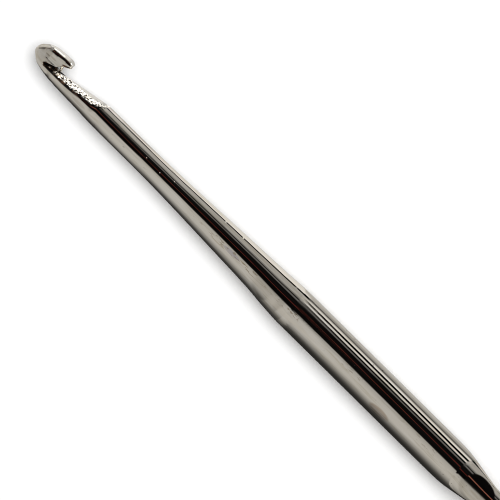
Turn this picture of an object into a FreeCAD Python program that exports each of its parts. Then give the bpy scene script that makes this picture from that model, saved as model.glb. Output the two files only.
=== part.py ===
import FreeCAD, Part
import math
import os

# Crochet hook: one length of steel wire with a cut head, a long taper and a pressed thumb rest,
# covered by a nickel plating. Millimetres. +X runs along the shaft towards the hook's nose, -Y is
# square to the thumb rest's flats on the mouth side, +Z is up. The origin is on the shaft's axis,
# at the plane where the round handle's wall meets its rounded butt end.
# Every part takes an inset: 0 builds the plated surface, PLATING the steel's surface under it.

Vector = FreeCAD.Vector

# ---- driving dimensions ----
OVERALL_LENGTH = 127.0  # butt to nose
SHAFT_D = 3.30  # round handle and round shaft
NECK_D = 2.00  # parallel neck, which is the hook's stated size
NECK_OFFSET = 0.058  # neck's axis off the shaft's axis, towards the mouth
PLATING = 0.03  # copper strike and bright nickel together
BUTT_ROUND = 1.10  # rounding of the butt end
MOUTH_TWIST = 14.0  # degrees, mouth direction turned from the thumb rest's normal towards +Z

# distances from the nose
HEAD_TO = 8.6
TAPER_FROM = 11.3
TAPER_TO = 27.9
FLAT_FROM = 44.3
FLAT_TO = 68.3

# ---- thumb rest ----
FLAT_THICK = 2.10  # across the two flats
FLAT_WIDE = 4.30  # across the bulged sides
RAMP_SLOPE = 0.184  # run-in of the flats, rise over run
BULGE_RUN = 1.5  # length over which the sides bulge, in ramp lengths
BULGE_STEPS = [0.0, 0.1, 0.22, 0.36, 0.5, 0.64, 0.78, 0.9, 1.0]  # stations, shares of that length
LEVEL_SPANS = 8  # equal spans between stations where the bulge is full
ROUND_ON = 1.0  # round wire kept at each end of the thumb rest's blank
BLOCK_HALF_HEIGHT = 6.0  # of the block that trims the flats, well clear of the bulged sides

# ---- mouth cutter ----
CUTTER_HALF_WIDTH = 4.0  # across the head, well clear of it
CUTTER_RISE = 2.2  # from the ends of the cut's outline to the cutter's top

# ---- worked out ----
SHAFT_R = SHAFT_D / 2
NECK_R = NECK_D / 2
X_NOSE = OVERALL_LENGTH - BUTT_ROUND
X_REST_START = X_NOSE - FLAT_TO
X_REST_END = X_NOSE - FLAT_FROM
TWIST = math.radians(MOUTH_TWIST)
MOUTH = Vector(0, -math.cos(TWIST), math.sin(TWIST))  # the way the mouth opens
ACROSS = Vector(0, math.sin(TWIST), math.cos(TWIST))  # across the head

# ---- sections ----
SECTION_POINTS = 32  # the same on every section, so that lofts match point to point

# Head tables: (distance from the nose, value). Heights lie along MOUTH, widths along ACROSS.
# The half height and half width are held squared, which keeps the blunt nose smooth.
HALF_HEIGHT_SQ = [
    (0.0, 0.0), (0.07, 0.0876), (0.2, 0.2116), (0.38, 0.371), (0.57, 0.555), (0.78, 0.744),
    (0.93, 0.842), (1.18, 0.966), (1.52, 1.078), (1.9, 1.183), (2.28, 1.277), (2.67, 1.309),
    (3.2, 1.285), (3.57, 1.241), (4.17, 1.143), (4.77, 1.059), (5.37, 1.004), (5.97, 0.974),
    (6.57, 0.976), (7.17, 0.984), (7.77, 0.992), (HEAD_TO, NECK_R ** 2),
]
HALF_WIDTH_SQ = [
    (0.0, 0.0), (0.07, 0.050), (0.2, 0.132), (0.38, 0.235), (0.57, 0.340), (0.78, 0.445),
    (0.93, 0.505), (1.18, 0.580), (1.52, 0.640), (1.9, 0.681), (2.28, 0.706), (2.67, 0.728),
    (3.57, 0.79), (4.77, 0.893), (5.97, 0.966), (7.17, 0.992), (HEAD_TO, NECK_R ** 2),
]
# section's centre off the shaft's axis, towards the mouth
CENTRE = [
    (0.0, 0.385), (0.07, 0.43), (0.2, 0.445), (0.38, 0.461), (0.78, 0.4625), (1.18, 0.470),
    (1.52, 0.4615), (1.9, 0.4395), (2.28, 0.433), (2.67, 0.420), (3.2, 0.37), (3.57, 0.33),
    (4.17, 0.26), (4.77, 0.20), (5.37, 0.15), (5.97, 0.11), (6.57, 0.085), (7.17, 0.067),
    (7.77, 0.059), (HEAD_TO, NECK_OFFSET),
]
# superellipse exponent: 2 is an ellipse, more is squarer
SQUARENESS = [
    (0.0, 2.0), (0.2, 2.05), (0.6, 2.3), (1.2, 2.7), (2.0, 2.9), (2.7, 2.8), (3.4, 2.5),
    (4.77, 2.2), (6.2, 2.03), (7.17, 2.0), (HEAD_TO, 2.0),
]
# distances from the nose where the head's sections are drawn
NOSE_CAP_FROM = 0.07
HEAD_STATIONS = [
    7.77, 7.17, 6.57, 5.97, 5.37, 4.77, 4.17, 3.57, 3.1, 2.67, 2.28, 1.9, 1.52, 1.18, 0.93,
    0.75, 0.57, 0.42, 0.3, 0.2, 0.12, NOSE_CAP_FROM,
]
# sections that close the nose: (distance from the nose, share of the size at NOSE_CAP_FROM)
NOSE_CAP = [(0.042, 0.80), (0.016, 0.55), (0.003, 0.26)]

# Neck and taper: (distance from the nose, radius, offset towards the mouth)
TAPER = [
    (HEAD_TO, NECK_R, NECK_OFFSET), (10.0, NECK_R, NECK_OFFSET),
    (TAPER_FROM, 1.003, NECK_OFFSET), (12.6, 1.014, 0.060), (13.9, 1.042, 0.062),
    (15.2, 1.086, 0.064), (16.4, 1.131, 0.065), (18.2, 1.204, 0.065), (20.0, 1.278, 0.064),
    (22.0, 1.357, 0.060), (23.6, 1.425, 0.050), (24.6, 1.488, 0.030), (25.4, 1.548, 0.008),
    (26.2, 1.592, 0.002), (27.0, 1.632, 0.0), (27.5, 1.646, 0.0), (TAPER_TO, SHAFT_R, 0.0),
]

# Mouth and throat cut, seen across the head: (distance from the nose, height over the axis).
# It runs down the throat towards the nose, then back under the hook's lip and out at the top.
CUT = [
    (7.50, 1.330), (7.05, 1.120), (6.57, 0.890), (5.97, 0.715), (5.37, 0.580), (4.77, 0.468),
    (4.17, 0.360), (3.57, 0.255), (2.95, 0.160), (2.40, 0.090), (1.85, 0.030), (1.48, -0.005),
    (1.320, 0.000), (1.225, 0.050), (1.190, 0.130), (1.225, 0.215), (1.325, 0.275),
    (1.48, 0.315), (1.80, 0.385), (2.02, 0.430), (2.16, 0.480), (2.250, 0.550), (2.300, 0.640),
    (2.350, 0.735), (2.420, 0.810), (2.52, 0.870), (2.70, 0.955), (2.86, 1.030), (2.97, 1.090),
    (3.035, 1.145), (3.062, 1.215), (3.058, 1.300), (3.030, 1.385), (2.985, 1.465),
    (2.930, 1.540), (2.865, 1.610), (2.79, 1.680), (2.71, 1.750),
]


def interpolate(table, x):
    """Value at x on a monotone cubic through the table, held level beyond its ends."""
    xs, ys = zip(*table)
    if x <= xs[0]:
        return ys[0]
    if x >= xs[-1]:
        return ys[-1]
    last = len(xs) - 1
    gaps = [xs[i + 1] - xs[i] for i in range(last)]
    slopes = [(ys[i + 1] - ys[i]) / gaps[i] for i in range(last)]
    tangents = [slopes[0]] + [0.0] * (last - 1) + [slopes[-1]]
    for i in range(1, last):
        # a peak or a dip keeps its level tangent
        if slopes[i - 1] * slopes[i] > 0:
            before = 2 * gaps[i] + gaps[i - 1]
            after = gaps[i] + 2 * gaps[i - 1]
            tangents[i] = (before + after) / (before / slopes[i - 1] + after / slopes[i])
    i = max(k for k in range(last) if xs[k] <= x)
    t = (x - xs[i]) / gaps[i]
    return (
        (1 + 2 * t) * (1 - t) ** 2 * ys[i]
        + t * (1 - t) ** 2 * gaps[i] * tangents[i]
        + t * t * (3 - 2 * t) * ys[i + 1]
        + t * t * (t - 1) * gaps[i] * tangents[i + 1]
    )


def section(x, half_height, half_width, centre=0.0, squareness=2.0, up=MOUTH, across=ACROSS):
    """Closed superellipse across the shaft; every section shares one set of knots."""
    points = []
    for k in range(SECTION_POINTS):
        angle = 2 * math.pi * k / SECTION_POINTS
        cosine, sine = math.cos(angle), math.sin(angle)
        height = centre + half_height * math.copysign(abs(cosine) ** (2 / squareness), cosine)
        width = half_width * math.copysign(abs(sine) ** (2 / squareness), sine)
        points.append(Vector(x, 0, 0) + up * height + across * width)
    curve = Part.BSplineCurve()
    knots = [float(k) for k in range(SECTION_POINTS + 1)]
    curve.interpolate(Points=points, PeriodicFlag=True, Parameters=knots)
    return Part.Wire([curve.toShape()])


def butt_and_handle(inset):
    """Round handle from its rounded butt to the thumb rest."""
    radius = SHAFT_R - inset
    rounding = BUTT_ROUND - inset
    x_end = X_REST_START - ROUND_ON
    butt_centre = Vector(-rounding, 0, 0)
    arc_start = Vector(-rounding, radius - rounding, 0)
    diagonal = rounding * math.sin(math.radians(45))
    arc_middle = Vector(-diagonal, radius - rounding + diagonal, 0)
    arc_end = Vector(0, radius, 0)
    wall_end = Vector(x_end, radius, 0)
    axis_end = Vector(x_end, 0, 0)
    profile = [
        Part.LineSegment(butt_centre, arc_start).toShape(),
        Part.Arc(arc_start, arc_middle, arc_end).toShape(),
        Part.LineSegment(arc_end, wall_end).toShape(),
        Part.LineSegment(wall_end, axis_end).toShape(),
        Part.LineSegment(axis_end, butt_centre).toShape(),
    ]
    return Part.Face(Part.Wire(profile)).revolve(Vector(0, 0, 0), Vector(1, 0, 0), 360)


def thumb_rest_blank(inset, run):
    """Round wire whose sides bulge out along Z over the run at each end."""
    start, end = X_REST_START, X_REST_END
    level = end - start - 2 * run
    stations = [start - ROUND_ON, start - ROUND_ON / 2]
    stations += [start + run * step for step in BULGE_STEPS]
    stations += [start + run + level * k / LEVEL_SPANS for k in range(1, LEVEL_SPANS)]
    stations += [end - run * step for step in reversed(BULGE_STEPS)]
    stations += [end + ROUND_ON / 2, end + ROUND_ON]

    radius = SHAFT_R - inset
    bulge = FLAT_WIDE / 2 - SHAFT_R
    wires = []
    for x in stations:
        t = max(0.0, min(1.0, min(x - start, end - x) / run))
        growth = t * t * t * (t * (6 * t - 15) + 10)  # smooth from 0 to 1
        half_width = radius + bulge * growth
        wires.append(
            section(x, radius, half_width, up=Vector(0, 1, 0), across=Vector(0, 0, 1))
        )
    return Part.makeLoft(wires, True, False)


def thumb_rest(inset):
    """Pressed thumb rest: bulged sides between two flats that run in on straight ramps."""
    ramp = (SHAFT_R - FLAT_THICK / 2) / RAMP_SLOPE
    blank = thumb_rest_blank(inset, ramp * BULGE_RUN)

    # the blank is kept inside one closed block whose faces are the flats and ramps
    overrun = 2 * ROUND_ON
    y_flat = FLAT_THICK / 2 - inset
    y_end = SHAFT_R - inset + overrun * RAMP_SLOPE
    side = [
        (X_REST_START - overrun, y_end),
        (X_REST_START + ramp, y_flat),
        (X_REST_END - ramp, y_flat),
        (X_REST_END + overrun, y_end),
    ]
    outline = [Vector(x, y, -BLOCK_HALF_HEIGHT) for x, y in side]
    outline += [Vector(x, -y, -BLOCK_HALF_HEIGHT) for x, y in reversed(side)]
    face = Part.Face(Part.makePolygon(outline + [outline[0]]))
    return blank.common(face.extrude(Vector(0, 0, 2 * BLOCK_HALF_HEIGHT)))


def round_shaft(inset):
    """Round shaft between the thumb rest and the taper."""
    start = X_REST_END + ROUND_ON
    end = X_NOSE - TAPER_TO
    return Part.makeCylinder(
        SHAFT_R - inset, end - start, Vector(start, 0, 0), Vector(1, 0, 0)
    )


def uncut_head(inset):
    """Taper, parallel neck and head as one loft, ending in a tiny flat at the nose."""
    def half_sizes(distance):
        return [
            math.sqrt(interpolate(table, distance)) - inset
            for table in (HALF_HEIGHT_SQ, HALF_WIDTH_SQ)
        ]

    wires = [
        section(X_NOSE - distance, radius - inset, radius - inset, offset)
        for distance, radius, offset in reversed(TAPER)
    ]
    for distance in HEAD_STATIONS:
        half_height, half_width = half_sizes(distance)
        centre = interpolate(CENTRE, distance)
        squareness = interpolate(SQUARENESS, distance)
        wires.append(section(X_NOSE - distance, half_height, half_width, centre, squareness))

    # the cap's stations are squeezed between the inset nose and the last head section
    half_height, half_width = half_sizes(NOSE_CAP_FROM)
    for distance, share in NOSE_CAP:
        x = X_NOSE - (inset + distance * (NOSE_CAP_FROM - inset) / NOSE_CAP_FROM)
        centre = interpolate(CENTRE, distance)
        wires.append(section(x, share * half_height, share * half_width, centre))
    return Part.makeLoft(wires, True, False)


def mouth_cutter(inset):
    """Block that cuts the mouth and throat, its outline moved into the metal by the inset."""
    path = []
    for i, (distance, height) in enumerate(CUT):
        before = CUT[max(i - 1, 0)]
        after = CUT[min(i + 1, len(CUT) - 1)]
        along, rise = after[0] - before[0], after[1] - before[1]
        length = math.hypot(along, rise)
        # in the table's own plane the metal lies to the left of the path
        distance -= inset * rise / length
        height += inset * along / length
        path.append(Vector(X_NOSE - distance, 0, 0) + MOUTH * height - ACROSS * CUTTER_HALF_WIDTH)
    curve = Part.BSplineCurve()
    curve.interpolate(path)
    first, last = path[0], path[-1]
    up = MOUTH * CUTTER_RISE
    edges = [
        curve.toShape(),
        Part.LineSegment(last, last + up).toShape(),
        Part.LineSegment(last + up, first + up).toShape(),
        Part.LineSegment(first + up, first).toShape(),
    ]
    return Part.Face(Part.Wire(edges)).extrude(ACROSS * (2 * CUTTER_HALF_WIDTH))


def hook(inset):
    """The whole hook as one solid, drawn in by the inset."""
    head = uncut_head(inset).cut(mouth_cutter(inset))
    others = [thumb_rest(inset), round_shaft(inset), head]
    solids = butt_and_handle(inset).fuse(others, 1e-4).Solids
    assert len(solids) == 1, len(solids)
    return solids[0]


def plating_skin(outer, core):
    """The plating: one solid inside the outer surface, with the core's volume as its void."""
    void = core.Shells[0].copy()
    void.reverse()
    return Part.makeSolid(Part.makeCompound([outer.Shells[0], void]))


os.makedirs("parts", exist_ok=True)
plated_hook = hook(0.0)
steel_core = hook(PLATING)
steel_core.exportStep("parts/steel_core.step")
plating_skin(plated_hook, steel_core).exportStep("parts/nickel_plating.step")
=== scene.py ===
"""A nickel-plated steel hook: a round bar with a carved hook head, a taper and two pressed flats.

The bar lies along X with its butt near x = 0 and its nose at +X. The flats face +Y and -Y, and
the head's mouth opens towards -Y, turned a little towards +Z. Shapes are in millimetres in this
frame and become metres when a mesh is made.

The head is worked out in its own coordinates: `back` is the distance from the nose, `rise` runs
across the bar towards the mouth and `side` is square to both, mostly towards +Z.
"""

import math

import bpy
import numpy as np
from mathutils import Matrix, Vector


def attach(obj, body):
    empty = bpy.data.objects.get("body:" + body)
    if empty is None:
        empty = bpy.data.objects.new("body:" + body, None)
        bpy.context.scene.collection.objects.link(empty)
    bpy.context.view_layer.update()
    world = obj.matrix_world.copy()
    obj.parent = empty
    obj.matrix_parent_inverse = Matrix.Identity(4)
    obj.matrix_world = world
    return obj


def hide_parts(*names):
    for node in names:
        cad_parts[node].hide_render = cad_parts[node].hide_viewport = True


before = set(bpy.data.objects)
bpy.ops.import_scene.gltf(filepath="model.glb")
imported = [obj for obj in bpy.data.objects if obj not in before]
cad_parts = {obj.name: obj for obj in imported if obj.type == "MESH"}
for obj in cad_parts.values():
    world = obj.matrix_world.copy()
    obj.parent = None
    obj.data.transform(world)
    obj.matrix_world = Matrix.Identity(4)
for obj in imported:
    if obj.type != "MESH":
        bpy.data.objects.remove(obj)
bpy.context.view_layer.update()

# ------------------------------------------------------------------ shape of the hook
OVERALL, BUTT_ROUND = 127.0, 1.10
X_NOSE = OVERALL - BUTT_ROUND
SHAFT_RADIUS = 1.65
TWIST = math.radians(14.0)
COS_TWIST, SIN_TWIST = math.cos(TWIST), math.sin(TWIST)
FLAT_FROM, FLAT_TO = 44.3, 68.3  # distances from the nose
FLAT_THICK, FLAT_WIDE, RAMP_SLOPE = 2.10, 4.30, 0.184
PLATING = 0.03
HEAD_END = 8.6  # distance from the nose where the carved head meets the tube
TIP = 0.07  # the section's height and width are held from here to the nose

# Sections of the head: (distance from the nose, value).
HALF_HEIGHT_SQ = [
    (0.0, 0.0), (0.07, 0.0876), (0.2, 0.2116), (0.38, 0.371), (0.57, 0.555), (0.78, 0.744),
    (0.93, 0.842), (1.18, 0.966), (1.52, 1.078), (1.9, 1.183), (2.28, 1.277), (2.67, 1.309),
    (3.2, 1.285), (3.57, 1.241), (4.17, 1.143), (4.77, 1.059), (5.37, 1.004), (5.97, 0.974),
    (6.57, 0.976), (7.17, 0.984), (7.77, 0.992), (8.6, 1.0),
]
CENTRE = [
    (0.0, 0.385), (0.07, 0.43), (0.2, 0.445), (0.38, 0.461), (0.78, 0.4625), (1.18, 0.470),
    (1.52, 0.4615), (1.9, 0.447), (2.28, 0.433), (2.67, 0.420), (3.2, 0.37), (3.57, 0.33),
    (4.17, 0.26), (4.77, 0.20), (5.37, 0.15), (5.97, 0.105), (6.57, 0.073), (7.17, 0.060),
    (7.77, 0.058), (8.6, 0.058),
]
HALF_WIDTH_SQ = [
    (0.0, 0.0), (0.07, 0.050), (0.2, 0.132), (0.38, 0.235), (0.57, 0.340), (0.78, 0.445),
    (0.93, 0.505), (1.18, 0.580), (1.52, 0.640), (1.9, 0.681), (2.28, 0.706), (2.67, 0.728),
    (3.57, 0.79), (4.77, 0.893), (5.97, 0.966), (7.17, 0.992), (8.6, 1.0),
]
# exponent of the section: 2 is an ellipse, more is squarer
SQUARENESS = [
    (0.0, 2.0), (0.2, 2.05), (0.6, 2.3), (1.2, 2.7), (2.0, 2.9), (2.7, 2.8), (3.4, 2.5),
    (4.77, 2.2), (6.2, 2.03), (7.17, 2.0), (8.6, 2.0),
]
# Outline of the mouth (back, rise): along the throat's floor, round the slot's end, up the lip.
MOUTH = [
    (7.50, 1.330), (7.05, 1.120), (6.57, 0.890), (5.97, 0.715), (5.37, 0.580), (4.77, 0.468),
    (4.17, 0.360), (3.57, 0.255), (2.95, 0.160), (2.40, 0.080), (1.85, 0.000), (1.48, -0.050),
    (1.345, -0.050), (1.262, -0.005), (1.235, 0.060), (1.262, 0.125), (1.345, 0.185),
    (1.48, 0.240), (1.80, 0.345), (2.02, 0.410), (2.16, 0.475), (2.250, 0.550), (2.300, 0.640),
    (2.350, 0.735), (2.420, 0.810), (2.52, 0.870), (2.70, 0.955), (2.86, 1.030), (2.97, 1.090),
    (3.035, 1.145), (3.062, 1.215), (3.058, 1.300), (3.030, 1.385), (2.985, 1.465),
    (2.930, 1.540), (2.865, 1.610), (2.79, 1.680), (2.71, 1.750),
]
FLOOR_POINTS = 14  # how many of them, from the first, lie on the throat's floor
MOUTH_CLOSING = [(2.3, 3.4), (9.6, 3.4)]  # closes the outline well outside the metal
# Round part behind the head: (distance from the nose, radius, offset towards the mouth).
TAPER = [
    (8.6, 1.000, 0.058), (10.0, 1.000, 0.058), (11.3, 1.003, 0.058), (12.6, 1.014, 0.060),
    (13.9, 1.042, 0.062), (15.2, 1.086, 0.064), (16.4, 1.131, 0.065), (18.2, 1.204, 0.065),
    (20.0, 1.278, 0.064), (22.0, 1.357, 0.060), (23.6, 1.425, 0.050), (24.6, 1.488, 0.030),
    (25.4, 1.548, 0.008), (26.2, 1.594, 0.002), (26.8, 1.633, 0.0), (27.3, 1.649, 0.0),
    (27.9, 1.650, 0.0), (40.0, 1.650, 0.0),
]
TAPER_END = 27.9
NECK_OFFSET = CENTRE[-1][1]


# ------------------------------------------------------------------ curves and noise
def curve(xs, ys):
    """Monotone cubic through a table, as a function that runs on straight past its ends."""
    xs, ys = np.array(xs, float), np.array(ys, float)
    gaps = np.diff(xs)
    chords = np.diff(ys) / np.diff(xs)
    slopes = np.zeros(len(xs))
    slopes[0], slopes[-1] = chords[0], chords[-1]
    for i in range(1, len(xs) - 1):
        if chords[i - 1] * chords[i] > 0:
            before = 2 * gaps[i] + gaps[i - 1]
            after = gaps[i] + 2 * gaps[i - 1]
            slopes[i] = (before + after) / (before / chords[i - 1] + after / chords[i])

    def value(x):
        x = np.asarray(x, float)
        i = np.clip(np.searchsorted(xs, x) - 1, 0, len(xs) - 2)
        along = (x - xs[i]) / gaps[i]
        part = np.clip(along, 0, 1)
        y = (
            (1 + 2 * part) * (1 - part) ** 2 * ys[i]
            + part * (1 - part) ** 2 * gaps[i] * slopes[i]
            + part * part * (3 - 2 * part) * ys[i + 1]
            + part * part * (part - 1) * gaps[i] * slopes[i + 1]
        )
        y = y + np.where(along < 0, along * gaps[i] * slopes[0], 0)
        return y + np.where(along > 1, (along - 1) * gaps[i] * slopes[-1], 0)

    return value


def smoothstep(start, end, x):
    """0 at start, easing to 1 at end; end may be the smaller."""
    part = np.clip((x - start) / (end - start), 0, 1)
    return part * part * (3 - 2 * part)


def smooth_max(first, second, blend):
    part = np.clip(0.5 + 0.5 * (first - second) / blend, 0, 1)
    return second * (1 - part) + first * part + blend * part * (1 - part)


def waves(points, scale, seed):
    """Smooth random field about zero, unit variance: plane waves with lengths round scale."""
    count = 40
    rng = np.random.default_rng(seed)
    total = np.zeros(len(points))
    for _ in range(count):
        wave = rng.normal(size=3)
        wave *= 2 * math.pi / scale * rng.uniform(0.6, 1.6) / np.linalg.norm(wave)
        total += np.sin(points @ wave + rng.uniform(0, 2 * math.pi))
    return total / math.sqrt(count / 2)


half_height_sq = curve(*zip(*HALF_HEIGHT_SQ))
half_width_sq = curve(*zip(*HALF_WIDTH_SQ))
centre_rise = curve(*zip(*CENTRE))
squareness = curve(*zip(*SQUARENESS))
taper_backs, taper_radii, taper_offsets = zip(*TAPER)
taper_radius = curve(taper_backs, taper_radii)
taper_offset = curve(taper_backs, taper_offsets)

# The rough milled patch on the throat's floor lies between these two edges, seen from +Z.
PATCH_LOW = curve(
    (2.20, 2.50, 2.80, 3.20, 3.60, 4.00, 4.50, 5.00, 5.50, 6.00, 6.40, 6.80),
    (-0.17, -0.14, -0.105, -0.07, -0.055, -0.02, 0.04, 0.15, 0.18, 0.24, 0.46, 0.76),
)
PATCH_HIGH = curve(
    (2.20, 2.34, 2.65, 3.00, 3.30, 3.60, 4.10, 4.64, 5.09, 5.50, 6.00, 6.50, 6.80),
    (0.04, 0.12, 0.15, 0.22, 0.30, 0.36, 0.38, 0.44, 0.52, 0.50, 0.60, 0.74, 0.80),
)
# lower edge of the painted dark reflection along the throat's rim, seen from +Z
BAND = curve(
    (1.2, 1.5, 1.9, 2.5, 3.2, 3.6, 4.0, 4.5, 5.04, 6.1),
    (-0.20, -0.26, -0.30, -0.30, -0.30, -0.285, -0.26, -0.22, -0.195, -0.15),
)
# the bevel along the lip's outer edge on the +side: its middle seen from +Z, and its radius
BEVEL_AT = curve((0.9, 1.3, 1.7, 2.15, 2.45, 2.8, 3.2), (0.88, 1.00, 1.11, 1.205, 1.265, 1.30, 1.31))
BEVEL_RADIUS = curve((0.9, 1.3, 1.7, 2.15, 2.45, 3.2), (0.35, 0.50, 0.86, 1.00, 1.14, 1.20))
# the throat's floor, and the radius of its rim on the +side
FLOOR = curve(*zip(*MOUTH[:FLOOR_POINTS][::-1]))
RIM_RADIUS = curve(
    (1.2, 1.8, 2.8, 4.0, 5.0, 5.5, 6.1, 6.5, 6.9, 8.6),
    (0.08, 0.12, 0.23, 0.42, 0.54, 0.63, 0.77, 0.85, 0.93, 0.97),
)


# ------------------------------------------------------------------ the mouth's outline
def mouth_grid():
    """Signed distance to the mouth's outline (positive inside it), its corner and its step."""
    table = np.array(MOUTH)
    last = len(table) - 1
    outline = []
    for i in range(last):
        p0, p1, p2, p3 = table[max(i - 1, 0)], table[i], table[i + 1], table[min(i + 2, last)]
        for t in np.linspace(0, 1, 10, endpoint=False):
            square = (2 * p0 - 5 * p1 + 4 * p2 - p3) * t * t
            cube = (3 * p1 - p0 - 3 * p2 + p3) * t ** 3
            outline.append(0.5 * ((2 * p1) + (p2 - p0) * t + square + cube))
    outline.append(table[-1])
    closed = np.vstack([np.array(outline), MOUTH_CLOSING])
    step = 0.02
    backs, rises = np.arange(-0.6, 9.6, step), np.arange(-1.6, 2.4, step)
    back_grid, rise_grid = np.meshgrid(backs, rises, indexing="ij")
    points = np.stack([back_grid.ravel(), rise_grid.ravel()], 1)
    nearest = np.full(len(points), 1e9)
    inside = np.zeros(len(points), bool)
    for start, end in zip(closed, np.roll(closed, -1, axis=0)):
        edge = end - start
        along = np.clip(((points - start) @ edge) / (edge @ edge), 0, 1)
        nearest = np.minimum(nearest, np.hypot(*(points - start - along[:, None] * edge).T))
        spans = (start[1] > points[:, 1]) != (end[1] > points[:, 1])
        with np.errstate(divide="ignore", invalid="ignore"):
            meets = (end[0] - start[0]) * (points[:, 1] - start[1]) / (end[1] - start[1]) + start[0]
        inside ^= spans & (points[:, 0] < meets)
    return np.where(inside, nearest, -nearest).reshape(back_grid.shape), backs[0], rises[0], step


MOUTH_GRID, GRID_BACK, GRID_RISE, GRID_STEP = mouth_grid()


def mouth_distance(back, rise):
    """Distance to the mouth's outline, read between the grid's points."""
    grid = MOUTH_GRID
    row = np.clip((back - GRID_BACK) / GRID_STEP, 0, grid.shape[0] - 1.001)
    column = np.clip((rise - GRID_RISE) / GRID_STEP, 0, grid.shape[1] - 1.001)
    i, j = row.astype(int), column.astype(int)
    row, column = row - i, column - j
    return (
        grid[i, j] * (1 - row) * (1 - column)
        + grid[i + 1, j] * row * (1 - column)
        + grid[i, j + 1] * (1 - row) * column
        + grid[i + 1, j + 1] * row * column
    )


# ------------------------------------------------------------------ the head as a field
def narrowing(back):
    """How much narrower than the rest of the head the lip is; more so further from the nose."""
    return 0.06 + 0.11 * smoothstep(1.2, 2.6, back)


def lip_on(back):
    """1 along the lip, 0 at the nose and behind the lip."""
    return smoothstep(0.55, 1.1, back) * smoothstep(4.4, 3.2, back)


def upper_curves():
    """The lip's mouth half is squarer: its exponent, and a height that keeps the outline."""
    back = np.linspace(0.07, 4.6, 90)
    height, width = np.sqrt(half_height_sq(back)), np.sqrt(half_width_sq(back))
    power = squareness(back)
    on = lip_on(back)
    upper_power = power + (7.5 - power) * on
    dual = power / (power - 1)
    reach = ((height * COS_TWIST) ** dual + (width * SIN_TWIST) ** dual) ** (1 / dual)
    dual = upper_power / (upper_power - 1)
    sideways = (width * (1 - narrowing(back) * on) * SIN_TWIST) ** dual
    upper_height = (reach ** dual - sideways) ** (1 / dual) / COS_TWIST
    return curve(back, upper_power), curve(back, upper_height)


upper_squareness, upper_half_height = upper_curves()


def body_field(back, rise, side):
    """The head before the mouth is cut: negative inside."""
    # the nose is drawn out a touch
    back = back - 0.04 * smoothstep(0.9, 0.1, back)
    height_sq = half_height_sq(back)
    tip_sq = float(half_height_sq(TIP))
    held = np.clip(back, TIP, None)
    centre = centre_rise(np.clip(back, 0, 9))
    height = np.sqrt(half_height_sq(held))
    upper = smoothstep(-0.3, 0.5, rise - centre)
    width = np.sqrt(half_width_sq(held)) * (1 - narrowing(back) * lip_on(back) * upper)
    power = squareness(np.clip(back, 0, HEAD_END))
    above = (rise > centre) & (back > 0.1) & (back < 4.5)
    on_lip = np.clip(back, 0.08, 4.59)
    height = np.where(above, upper_half_height(on_lip), height)
    power = np.where(above, upper_squareness(on_lip), power)
    up = (np.abs(rise - centre) + 1e-9) / height
    out = (np.abs(side) + 1e-9) / width
    ring = (up ** power + out ** power) ** (2 / power) - 1
    return ring * np.maximum(height_sq, tip_sq) + np.maximum(tip_sq - height_sq, 0)


def throat_mask(back, rise, side):
    """1 on the rough milled patch of the throat's floor, ragged at its edges."""
    across = rise * COS_TWIST - side * SIN_TWIST
    ragged = 0.035 * waves(np.stack([back, across, 0 * back], 1), 0.22, 9)
    low, high = PATCH_LOW(back) + ragged, PATCH_HIGH(back) + 0.6 * ragged
    on = smoothstep(-0.03, 0.03, across - low) * smoothstep(-0.03, 0.03, high - across)
    on = on * smoothstep(2.2, 2.34, back) * smoothstep(6.85, 6.60, back + 2 * ragged)
    return on * (rise < 0.22 + 0.22 * np.clip(back - 2.0, 0, 9))


def below_mouth(back, rise):
    """1 on the throat side of the mouth, 0 on the lip side."""
    middle = 0.13 + 0.17 * (back - 1.2) + 0.5 * np.clip(back - 2.3, 0, 9)
    return smoothstep(0.08, -0.08, rise - middle)


def rounded_corner(up, out, radius):
    """Distance to a corner of the given radius, from offsets to the centre of its arc."""
    outside = np.hypot(np.maximum(up, 0), np.maximum(out, 0))
    return outside + np.minimum(np.maximum(up, out), 0) - radius


def near_rim(back, rise, side):
    """The throat's rim on the +side, rounded over, the more so nearer the neck."""
    back = np.clip(back, 1.0, HEAD_END)
    radius = RIM_RADIUS(back)
    width = np.sqrt(half_width_sq(back))
    corner = rounded_corner(rise - (FLOOR(back) - radius), side - (width - radius), radius)
    # lowered, and so out of play, away from that rim
    away = (
        3.0 * smoothstep(1.75, 1.2, back)
        + 6.0 * (1 - below_mouth(back, rise))
        + 0.14 * smoothstep(5.9, 7.3, back)
        + 3.0 * smoothstep(7.3, 8.2, back)
        + 3.0 * smoothstep(-0.05, -0.35, side)
    )
    return corner - away


def bevel(back, rise, side):
    """The broad soft bevel along the lip's outer edge on the +side."""
    past_lip = 3.0 * smoothstep(3.3, 3.8, back)
    back = np.clip(back, 0.8, 3.4)
    radius = BEVEL_RADIUS(back)
    wall = 1.10 - 0.115 * smoothstep(0.85, 1.55, back)
    side_centre = np.sqrt(half_width_sq(back)) * (1 - narrowing(back)) * wall - radius
    rise_centre = (BEVEL_AT(back) - 0.078 * radius + side_centre * SIN_TWIST) / COS_TWIST
    up = rise - rise_centre
    out = side - side_centre - 0.06 * np.clip(-up, 0, 2) ** 2
    corner = rounded_corner(up, out, radius)
    # only the arc's flank is used: past it the surface runs straight on along this slope
    flank = (up * 0.42 + out * 0.9075) - radius
    corner = np.where(np.arctan2(up, out) > 0.4335, flank, corner)
    return corner - 3.0 * (rise < 0.5) - past_lip


def rim_round(back, rise):
    """How far the other rims of the mouth are rounded over."""
    low = below_mouth(back, rise)
    lip = 0.10 + 0.16 * smoothstep(2.2, 2.8, back)
    return low * 0.13 + (1 - low) * lip


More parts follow.
